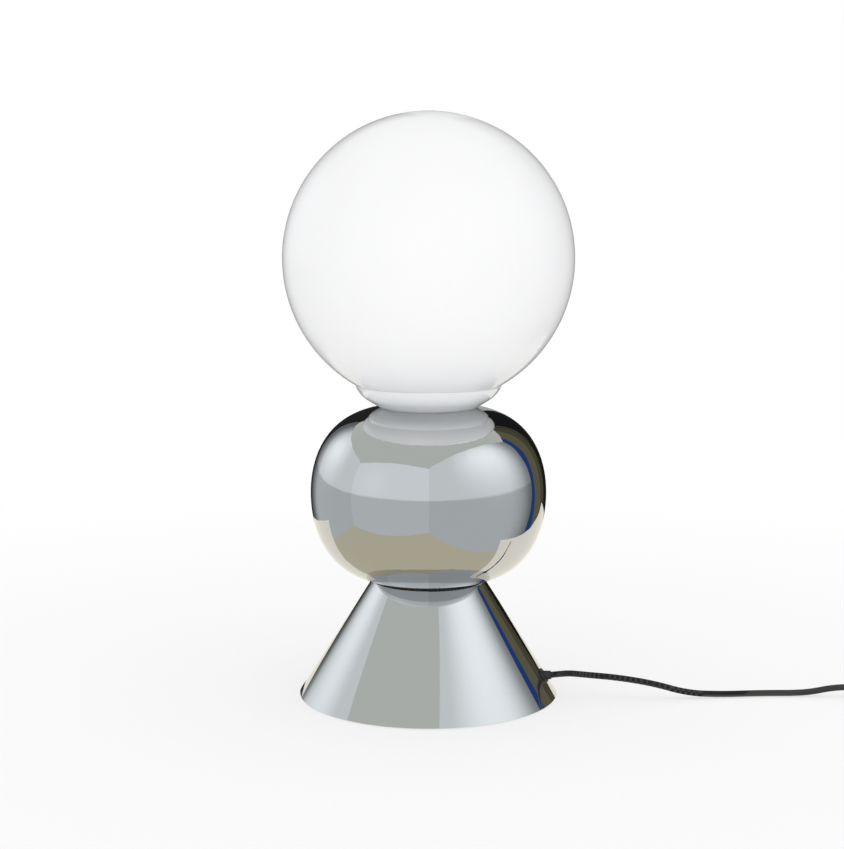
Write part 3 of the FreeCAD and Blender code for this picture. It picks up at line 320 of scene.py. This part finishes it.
def make_floor():
    mesh = bpy.data.meshes.new("floor")
    shape = bmesh.new()
    bmesh.ops.create_circle(shape, cap_ends=True, segments=FLOOR_SIDES, radius=FLOOR_RADIUS)
    shape.to_mesh(mesh)
    shape.free()
    floor = bpy.data.objects.new("floor", mesh)
    mesh.materials.append(floor_material())
    bpy.context.scene.collection.objects.link(floor)
    floor.visible_glossy = False


def soft_box(name, place, target, size, power):
    lamp = bpy.data.lights.new(name, "AREA")
    lamp.shape = "RECTANGLE"
    lamp.size, lamp.size_y = size
    lamp.energy = power
    holder = bpy.data.objects.new(name, lamp)
    holder.visible_glossy = False
    holder.location = place
    holder.rotation_euler = (Vector(target) - Vector(place)).to_track_quat("-Z", "Y").to_euler()
    bpy.context.scene.collection.objects.link(holder)


def maths(tree, operation, *values):
    made = tree.nodes.new("ShaderNodeMath")
    made.operation = operation
    for socket, value in zip(made.inputs, values):
        if isinstance(value, (int, float)):
            socket.default_value = value
        else:
            tree.links.new(value, socket)
    return made.outputs[0]


def eased(tree, value, start, end, low=0.0, high=1.0):
    """Carry a value smoothly from low to high while it goes from start to end."""
    made = tree.nodes.new("ShaderNodeMapRange")
    made.interpolation_type = "SMOOTHSTEP"
    for socket, number in zip(("From Min", "From Max", "To Min", "To Max"), (start, end, low, high)):
        made.inputs[socket].default_value = number
    tree.links.new(value, made.inputs["Value"])
    return made.outputs[0]


def glowing(name, tone):
    """A material that only glows; its tree, its emission and its place across the room."""
    material = bpy.data.materials.new(name)
    material.use_nodes = True
    tree = material.node_tree
    tree.nodes.clear()
    glow = tree.nodes.new("ShaderNodeEmission")
    glow.inputs["Color"].default_value = (*tone, 1.0)
    glow.inputs["Strength"].default_value = 1.0
    out = tree.nodes.new("ShaderNodeOutputMaterial")
    tree.links.new(glow.outputs[0], out.inputs["Surface"])
    place = tree.nodes.new("ShaderNodeTexCoord").outputs["Object"]
    return material, tree, glow, place


def along(tree, place, axis):
    parts = tree.nodes.new("ShaderNodeSeparateXYZ")
    tree.links.new(place, parts.inputs[0])
    return parts.outputs[axis]


def wall(name, level, painted_shade_level, painted_shade_range, painted_light_spot, painted_light_gain, reach):
    """Glowing wall painted with light and shade: painted shade that dims it along its length, a painted
    pool of light round a window spot, and darker below the dado rail.
    """
    material, tree, glow, place = glowing(name, WALL_TONE)
    # painted shade: the glow dims along the wall's length
    painted_light_and_shade = eased(tree, along(tree, place, "Y"), *painted_shade_range, level, painted_shade_level)
    away = tree.nodes.new("ShaderNodeVectorMath")
    away.operation = "DISTANCE"
    away.inputs[1].default_value = painted_light_spot
    tree.links.new(place, away.inputs[0])
    # painted light: a pool of extra glow round the window spot
    painted_light_and_shade = maths(tree, "ADD", painted_light_and_shade, eased(tree, away.outputs["Value"], 0.0, reach, painted_light_gain, 0.0))
    height = along(tree, place, "Z")
    start, end = [DADO_HEIGHT + edge for edge in DADO_RAIL]
    shade = eased(tree, height, start, end, DADO_SHADE, 1.0)
    tree.links.new(maths(tree, "MULTIPLY", painted_light_and_shade, shade), glow.inputs["Strength"])
    return material


def striped_wall():
    """The dark wall behind the lamp, in upright stripes."""
    material, tree, glow, place = glowing("far_wall", WALL_TONE)
    ramp = tree.nodes.new("ShaderNodeValToRGB")
    ramp.color_ramp.interpolation = "CONSTANT"
    points = ramp.color_ramp.elements
    while len(points) < len(STRIPES):
        points.new(0.5)
    for point, (start, tone) in zip(points, STRIPES):
        point.position = (ROOM_X[1] - start) / (ROOM_X[1] - ROOM_X[0])
        point.color = (*tone, 1.0)
    tree.links.new(eased(tree, along(tree, place, "X"), ROOM_X[1], ROOM_X[0]), ramp.inputs["Fac"])
    tree.links.new(ramp.outputs["Color"], glow.inputs["Color"])
    return material


def only_mirrored(name, corners, faces, materials, turn=0.0):
    """A stage piece that reflections see and nothing else does, with one material for each face."""
    mesh = bpy.data.meshes.new(name)
    mesh.from_pydata(corners, [], faces)
    for side, material in zip(mesh.polygons, materials):
        side.material_index = len(mesh.materials)
        mesh.materials.append(material)
    made = bpy.data.objects.new(name, mesh)
    made.rotation_euler = (0.0, 0.0, radians(turn))
    bpy.context.scene.collection.objects.link(made)
    made.visible_camera = False
    made.visible_diffuse = False
    made.visible_shadow = False
    made.visible_transmission = False


def make_room():
    """Glowing walls, ceiling and floor of the studio, and the table top, painted with light and shade, as
    the polished metal mirrors them.
    """
    corners = [(x, y, z) for z in ROOM_Z for y in ROOM_Y for x in ROOM_X]
    # floor, ceiling, near wall, far wall, right wall, left wall
    faces = [(0, 1, 3, 2), (4, 5, 7, 6), (0, 1, 5, 4), (2, 3, 7, 6), (1, 3, 7, 5), (0, 2, 6, 4)]
    # centres of the painted pools of light on the near, right and left walls
    near, right, left = (-1.2, ROOM_Y[0], 0.9), (ROOM_X[1], 0.30, 1.35), (ROOM_X[0], 0.05, 1.30)
    materials = [
        glowing("room_floor", ROOM_FLOOR_TONE)[0],
        glowing("ceiling", CEILING_TONE)[0],
        wall("near_wall", 0.95, 0.95, painted_shade_range=(0.0, 1.0), painted_light_spot=near, painted_light_gain=0.06, reach=1.2),
        striped_wall(),
        wall("right_wall", 0.86, 0.30, painted_shade_range=(0.5, 2.1), painted_light_spot=right, painted_light_gain=0.48, reach=1.5),
        wall("left_wall", 0.86, 0.16, painted_shade_range=(0.5, 1.9), painted_light_spot=left, painted_light_gain=0.42, reach=1.5),
    ]
    only_mirrored("room", corners, faces, materials, ROOM_TURN)
    top = [(x, y, TABLE_LIFT) for x, y in TABLE_CORNERS]
    only_mirrored("table_top", top, [(0, 1, 2, 3)], [glowing("table_top", TABLE_TONE)[0]])


def make_lights():
    middle = (0.0, 0.0, 0.2)
    soft_box("key", (1.9, -1.6, 1.7), middle, (1.1, 1.1), KEY_POWER)
    soft_box("fill", (-2.2, 0.9, 1.5), middle, (1.0, 1.4), FILL_POWER)
    soft_box("low", (0.0, -1.3, 0.06), (0.0, 0.0, 0.28), (1.4, 0.1), LOW_POWER)
    soft_box("top", (0.1, -0.2, 1.7), (0.0, 0.0, 0.4), (1.2, 1.2), TOP_POWER)
    make_room()


# ------------------------------------------------------------ materials
NOISE_RANGE = (0.3, 0.7)
MIX_DARK, MIX_LIGHT, MIX_RESULT = 6, 7, 2


class Paint:
    """A Principled material with short helpers for its procedural nodes."""

    def __init__(self, name, colour, roughness=0.4, metallic=0.0, **sockets):
        self.material = bpy.data.materials.new(name)
        self.material.use_nodes = True
        self.tree = self.material.node_tree
        self.shader = self.tree.nodes["Principled BSDF"]
        self.shader.inputs["Base Color"].default_value = (*colour, 1.0)
        self.shader.inputs["Roughness"].default_value = roughness
        self.shader.inputs["Metallic"].default_value = metallic
        for socket, value in sockets.items():
            self.shader.inputs[socket.replace("_", " ")].default_value = value
        self.place = self.tree.nodes.new("ShaderNodeTexCoord").outputs["Object"]

    def node(self, kind, **values):
        made = self.tree.nodes.new("ShaderNode" + kind)
        for socket, value in values.items():
            made.inputs[socket.replace("_", " ")].default_value = value
        return made

    def link(self, output, target):
        self.tree.links.new(output, target)

    def noise(self, scale, detail=3.0):
        texture = self.node("TexNoise", Scale=scale, Detail=detail)
        self.link(self.place, texture.inputs["Vector"])
        return texture.outputs["Fac"]

    def spread(self, value, low, high):
        """Carry a texture's middle range to the range from low to high."""
        start, end = NOISE_RANGE
        made = self.node("MapRange", From_Min=start, From_Max=end, To_Min=low, To_Max=high)
        self.link(value, made.inputs["Value"])
        return made.outputs[0]

    def colours(self, value, dark, light):
        made = self.node("Mix")
        made.data_type = "RGBA"
        made.inputs[MIX_DARK].default_value = (*dark, 1.0)
        made.inputs[MIX_LIGHT].default_value = (*light, 1.0)
        self.link(value, made.inputs[0])
        self.link(made.outputs[MIX_RESULT], self.shader.inputs["Base Color"])
        return self

    def rough(self, value, low, high):
        self.link(self.spread(value, low, high), self.shader.inputs["Roughness"])
        return self

    def bump(self, value, depth, strength=1.0):
        """Add relief of a depth in millimetres."""
        made = self.node("Bump", Strength=strength, Distance=depth * MM)
        self.link(value, made.inputs["Height"])
        self.link(made.outputs[0], self.shader.inputs["Normal"])
        return self


def chrome():
    """Bright plated sheet: faint waves of the pressing, and a breath of dust in its polish."""
    paint = Paint("chrome", (0.60, 0.605, 0.61), 0.03, 1.0)
    paint.colours(paint.noise(6.0, 2.0), (0.585, 0.594, 0.602), (0.612, 0.617, 0.620))
    paint.rough(paint.noise(90.0, 5.0), 0.012, 0.05)
    return paint.bump(paint.noise(9.0, 1.0), 0.25, 0.5).material


def opal_glass():
    """Cased white glass: milky inside, fire-bright skin with the blower's slow waves."""
    paint = Paint("opal_glass", (0.93, 0.93, 0.94), 0.12, IOR=1.5, Specular_IOR_Level=0.15)
    paint.shader.inputs["Subsurface Weight"].default_value = 0.2
    paint.shader.inputs["Subsurface Scale"].default_value = 0.004
    paint.shader.inputs["Subsurface Radius"].default_value = (1.0, 1.0, 1.0)
    paint.colours(paint.noise(5.0, 2.0), (0.915, 0.918, 0.93), (0.94, 0.94, 0.945))
    paint.rough(paint.noise(14.0, 3.0), 0.09, 0.16)
    return paint.bump(paint.noise(11.0, 1.0), 0.12, 0.4).material


def enamel():
    """White gloss enamel over the pressed cup."""
    paint = Paint("white_enamel", (0.90, 0.905, 0.92), 0.12, IOR=1.5, Coat_Weight=0.2, Coat_Roughness=0.04)
    paint.colours(paint.noise(30.0, 3.0), (0.89, 0.90, 0.915), (0.91, 0.915, 0.925))
    paint.rough(paint.noise(60.0, 4.0), 0.08, 0.18)
    return paint.bump(paint.noise(400.0, 2.0), 0.02, 0.5).material


def moulded(name, colour, low, high, grain):
    """Moulded plastic with a fine spark-eroded grain."""
    paint = Paint(name, colour, low, IOR=1.47)
    paint.colours(paint.noise(40.0, 4.0), [c * 0.8 for c in colour], [c * 1.25 for c in colour])
    paint.rough(paint.noise(220.0, 5.0), low, high)
    return paint.bump(paint.noise(1800.0, 3.0), grain, 0.6).material


def cable_jacket():
    """Soft PVC: faint drawing marks along the cord, and wear that dulls the sheen."""
    sheen = {"Sheen_Weight": 0.15, "Sheen_Roughness": 0.4}
    paint = Paint("cable_jacket", (0.018, 0.018, 0.019), 0.35, IOR=1.5, **sheen)
    paint.colours(paint.noise(35.0, 4.0), (0.012, 0.012, 0.013), (0.028, 0.028, 0.029))
    paint.rough(paint.noise(160.0, 4.0), 0.28, 0.48)
    return paint.bump(paint.noise(900.0, 3.0), 0.03, 0.6).material


def cast_iron():
    paint = Paint("cast_iron", (0.10, 0.10, 0.105), 0.7, 0.4)
    paint.colours(paint.noise(60.0, 6.0), (0.06, 0.06, 0.065), (0.16, 0.155, 0.15))
    paint.rough(paint.noise(140.0, 5.0), 0.55, 0.85)
    return paint.bump(paint.noise(420.0, 6.0), 0.35).material


def zinc():
    """Zinc plated steel with its cloudy bluish bloom."""
    paint = Paint("zinc_steel", (0.6, 0.61, 0.62), 0.35, 1.0)
    paint.colours(paint.noise(120.0, 4.0), (0.50, 0.51, 0.54), (0.68, 0.68, 0.66))
    paint.rough(paint.noise(300.0, 4.0), 0.25, 0.5)
    return paint.bump(paint.noise(900.0, 3.0), 0.02).material


def brass(name, dark, light, low, high):
    paint = Paint(name, light, low, 1.0)
    paint.colours(paint.noise(150.0, 4.0), dark, light)
    paint.rough(paint.noise(350.0, 4.0), low, high)
    return paint.bump(paint.noise(1200.0, 2.0), 0.01).material


def foam():
    """Closed-cell foam sheet, cut square."""
    paint = Paint("black_foam", (0.03, 0.03, 0.03), 0.9)
    paint.colours(paint.noise(500.0, 3.0), (0.015, 0.015, 0.015), (0.05, 0.05, 0.05))
    return paint.bump(paint.noise(1100.0, 4.0), 0.25).material


def soft_white(name, colour, low, high):
    paint = Paint(name, colour, low, IOR=1.45)
    paint.colours(paint.noise(80.0, 3.0), [c * 0.94 for c in colour], colour)
    paint.rough(paint.noise(200.0, 4.0), low, high)
    return paint.bump(paint.noise(700.0, 3.0), 0.03).material


def dress(material, *names):
    for name in names:
        for slot in nodes[name].material_slots:
            slot.material = material


def dress_all():
    chromium = chrome()
    plastic = moulded("black_plastic", (0.02, 0.02, 0.021), 0.38, 0.55, 0.04)
    gloss = moulded("black_gloss", (0.014, 0.014, 0.015), 0.12, 0.22, 0.01)
    brassy = brass("brass", (0.62, 0.47, 0.20), (0.80, 0.64, 0.32), 0.22, 0.4)
    nickel = brass("nickelled_brass", (0.60, 0.59, 0.56), (0.72, 0.71, 0.68), 0.15, 0.3)
    dress(opal_glass(), "glass_globe")
    dress(enamel(), "globe_cup")
    dress(chromium, "chrome_ball", "chrome_cone")
    dress(plastic, "spacer_ring", "cord_outlet", "cord_clamp", "switch_base", "switch_cover")
    dress(gloss, "switch_rocker", "plug_sleeves", "bulb_insulator")
    dress(moulded("phenolic", (0.03, 0.027, 0.025), 0.3, 0.42, 0.02), "holder_cap", "holder_shell")
    dress(moulded("plug_plastic", (0.02, 0.02, 0.021), 0.34, 0.5, 0.05), "plug_body")
    dress(cast_iron(), "ballast_weight")
    dress(foam(), "foot_ring")
    dress(steel, "bottom_cover", "threaded_tube", "lower_nut", "lower_washer")
    dress(steel, "upper_nut", "upper_washer", "clamp_screws")
    dress(brassy, "holder_contacts", "switch_contacts")
    dress(nickel, "plug_pins")
    dress(brass("solder", (0.5, 0.5, 0.5), (0.66, 0.66, 0.66), 0.4, 0.55), "bulb_tip")
    dress(soft_white("steatite", (0.84, 0.81, 0.74), 0.5, 0.7), "holder_contact_block")
    dress(soft_white("bulb_opal", (0.93, 0.93, 0.91), 0.2, 0.3), "bulb_glass")
    dress(soft_white("tie_strip", (0.78, 0.78, 0.76), 0.3, 0.45), "coil_tie")
    rubber = soft_white("silicone", (0.90, 0.90, 0.89), 0.4, 0.6)
    make_pieces(brassy, nickel, rubber)


# --------------------------------------------------------------- pieces
GLOBE_Z = 380.39
SEAL_OUTSIDE, SEAL_INSIDE = 125.8, 125.06
SEAL_FOOT, SEAL_LIP = 58.7, 62.5
BEAD_HALF_WIDTH, BEAD_HALF_HEIGHT = 0.38, 0.37
CAP_LOW, CAP_TOP, CAP_RADIUS, CAP_WALL = 294.618, 315.618, 13.05, 0.4
CAP_EYE_RADIUS, CAP_CORNER = 5.45, 1.2
CAP_THREAD_DEPTH = -0.7
SHELL_LOW, SHELL_TOP, SHELL_RADIUS, SHELL_WALL = 286.218, 313.218, 13.35, 0.38
SHELL_THREAD_DEPTH = 0.36
THREAD_PITCH = 3.62
THREAD_RUN_OUT = 1.5
TURNED_SIDES = 72
SEAL_SIDES = 180
SHANK_RADIUS, HEAD_RADIUS, HEAD_DEPTH = 1.5, 2.8, 1.3
HEAD_ROUNDING, HEAD_CROWN = 0.5, 0.15
RECESS_DEPTH, RECESS_HALF_WIDTH, RECESS_REACH = 0.85, 0.42, 1.65
COVER_SCREW_CIRCLE, COVER_SCREW_Z = 62.0, 2.2


def mesh_piece(name, points, faces, material, body, node):
    """Mesh in millimetres as a piece that rides on a body and stands for a CAD node."""
    mesh = bpy.data.meshes.new(name)
    mesh.from_pydata([Vector(point) * MM for point in points], [], faces)
    mesh.polygons.foreach_set("use_smooth", [True] * len(mesh.polygons))
    mesh.materials.append(material)
    piece = bpy.data.objects.new(name, mesh)
    bpy.context.scene.collection.objects.link(piece)
    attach(piece, body)
    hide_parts(node)
    return piece


def circle(radius, z, count):
    return [(radius * cos(2 * pi * k / count), radius * sin(2 * pi * k / count), z) for k in range(count)]


def ring_faces(rows, count, closed=False):
    """Quads between rings of points; closed joins the last ring to the first."""
    faces = []
    pairs = [(k, k + 1) for k in range(rows - 1)] + ([(rows - 1, 0)] if closed else [])
    for a, b in pairs:
        for k in range(count):
            n = (k + 1) % count
            faces.append((a * count + k, a * count + n, b * count + n, b * count + k))
    return faces


def rolled(angle, z, low, high, depth):
    """Depth of a rolled screw thread at a height, run out at both ends."""
    wave = (1 - cos(2 * pi * z / THREAD_PITCH - angle)) / 2
    fade = max(0.0, min(1.0, (z - low) / THREAD_RUN_OUT, (high - z) / THREAD_RUN_OUT))
    return depth * wave * fade


def rolled_shell(name, outline, thickness, thread, depth, material, body, node):
    """Thin turned shell with a rolled thread; the outline's points are (radius, height)."""
    section = outline + [(r - thickness, z) for r, z in reversed(outline)]
    points = []
    for r, z in section:
        for k in range(TURNED_SIDES):
            angle = 2 * pi * k / TURNED_SIDES
            deep = r + rolled(angle, z, *thread, depth)
            points.append((deep * cos(angle), deep * sin(angle), z))
    faces = ring_faces(len(section), TURNED_SIDES, closed=True)
    mesh_piece(name, points, faces, material, body, node)


def bulb_cap_piece(material):
    outline = [(CAP_EYE_RADIUS, CAP_LOW + 0.02)]
    for k in range(6):
        angle = radians(18 * k)
        reach = CAP_RADIUS - CAP_CORNER + CAP_CORNER * sin(angle)
        outline.append((reach, CAP_LOW + CAP_CORNER - CAP_CORNER * cos(angle)))
    start = CAP_LOW + CAP_CORNER
    outline += [(CAP_RADIUS, start + (CAP_TOP - start) * k / 66) for k in range(1, 67)]
    thread = (CAP_LOW + 2.0, CAP_TOP - 3.4)
    depth, slot = CAP_THREAD_DEPTH, "nickelled_brass"
    rolled_shell("bulb_cap_rolled", outline, CAP_WALL, thread, depth, material, "bulb", "bulb_cap")


def screw_shell_piece(material):
    height = SHELL_TOP - SHELL_LOW
    outline = [(SHELL_RADIUS + SHELL_WALL, SHELL_LOW + height * k / 80) for k in range(81)]
    thread = (SHELL_LOW + 1.0, SHELL_TOP - 1.0)
    depth, node = SHELL_THREAD_DEPTH, "holder_screw_shell"
    rolled_shell("screw_shell_rolled", outline, SHELL_WALL, thread, depth, material, "lamp", node)


def globe_height(radius, reach):
    """Height of a ball round the globe's centre, below it, at a distance from the axis."""
    return GLOBE_Z - sqrt(radius ** 2 - reach ** 2)


def seal_piece(material):
    """Silicone band between cup and globe, with a bead that closes the slit at the rim."""
    section = [(reach, globe_height(SEAL_OUTSIDE, reach)) for reach in (SEAL_FOOT, 60.0, 61.4, SEAL_LIP)]
    middle = globe_height((SEAL_OUTSIDE + SEAL_INSIDE) / 2, SEAL_LIP)
    for k in range(1, 6):
        angle = radians(-65 + 30 * k)
        section.append((SEAL_LIP + BEAD_HALF_WIDTH * cos(angle), middle + BEAD_HALF_HEIGHT * sin(angle)))
    section += [(reach, globe_height(SEAL_INSIDE, reach)) for reach in (62.4, 61.4, 60.0, SEAL_FOOT)]
    points = []
    for r, z in section:
        points += circle(r, z, SEAL_SIDES)
    faces = ring_faces(len(section), SEAL_SIDES, closed=True)
    mesh_piece("globe_seal_bead", points, faces, material, "lamp", "globe_seal")


def recess(x, y):
    """Depth of a cross recess in a screw head."""
    arms = []
    for lengthwise, across in ((x, y), (y, x)):
        side = max(0.0, min(1.0, (RECESS_HALF_WIDTH - abs(across)) / 0.10))
        end = max(0.0, min(1.0, (RECESS_REACH - abs(lengthwise)) / 0.5))
        arms.append(side * end)
    return RECESS_DEPTH * max(arms)


def screw_points(length):
    """Pan head screw from its tip to the middle of its head, the shank along +Z."""
    crown_radius, side_depth = HEAD_RADIUS - HEAD_ROUNDING, HEAD_DEPTH - 0.55
    rows = [(0.01, length), (0.9, length - 0.3), (SHANK_RADIUS, length - 1.2), (SHANK_RADIUS, 0.02)]
    rows += [(HEAD_RADIUS, 0.02), (HEAD_RADIUS, -side_depth)]
    for k in range(1, 5):
        angle = radians(22 * k)
        rows.append((crown_radius + HEAD_ROUNDING * cos(angle), -side_depth - 0.55 * sin(angle)))
    for k in range(1, 34):
        share = 1 - k / 34
        rows.append((crown_radius * share, -HEAD_DEPTH - HEAD_CROWN * (1 - share ** 2)))
    points = []
    for r, z in rows:
        crowned = r < crown_radius and z < -1.2
        for x, y, height in circle(r, z, TURNED_SIDES):
            sink = recess(x, y) if crowned else 0.0
            points.append(Vector((x, y, height + sink)))
    faces = ring_faces(len(rows), TURNED_SIDES)
    faces.append(tuple(range(TURNED_SIDES)))
    faces.append(tuple(reversed(range((len(rows) - 1) * TURNED_SIDES, len(rows) * TURNED_SIDES))))
    return points, faces


def screw_pieces(name, node, places, length, turns, material):
    """A group of like screws in one piece, heads down, each turned as the driver left it."""
    points, faces = [], []
    shape, sides = screw_points(length)
    for place, turn in zip(places, turns):
        first = len(points)
        spin = Matrix.Rotation(radians(turn), 3, "Z")
        points += [spin @ point + Vector(place) for point in shape]
        faces += [tuple(first + k for k in side) for side in sides]
    return mesh_piece(name, points, faces, material, "lamp", node)


def make_pieces(brassy, nickel, rubber):
    lead = tube("lead_in_base", lead_route(), CORD_DIAMETER)
    lead.data.materials.append(jacket)
    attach(lead, "lamp")
    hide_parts("inner_lead")
    bulb_cap_piece(nickel)
    screw_shell_piece(brassy)
    seal_piece(rubber)
    places = circle(COVER_SCREW_CIRCLE, COVER_SCREW_Z, 6)[1::2]
    screw_pieces("cover_screw_heads", "cover_screws", places, 6.0, (17, 64, 41), steel)


# ---------------------------------------------------------------- build
bpy.context.scene.view_settings.view_transform = "Standard"
make_camera()
jacket = cable_jacket()
steel = zinc()
cord = tube("cord", cord_route(), CORD_DIAMETER)
cord.data.materials.append(jacket)
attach(cord, "lamp")
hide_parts("cord_free", "cord_link", "cord_coil", "cord_tail")
switch_screws = screw_pieces("switch_screw_heads", "switch_screws", SWITCH_BOSSES, 10.5, (28, 70), steel)
along_cord = [name for name in frame["record"]["physics"]["cord_nodes"] if name[:5] != "cord_"]
along_cord.remove("switch_screws")
hide_far_cord()
make_world()
make_floor()
make_lights()
dress_all()
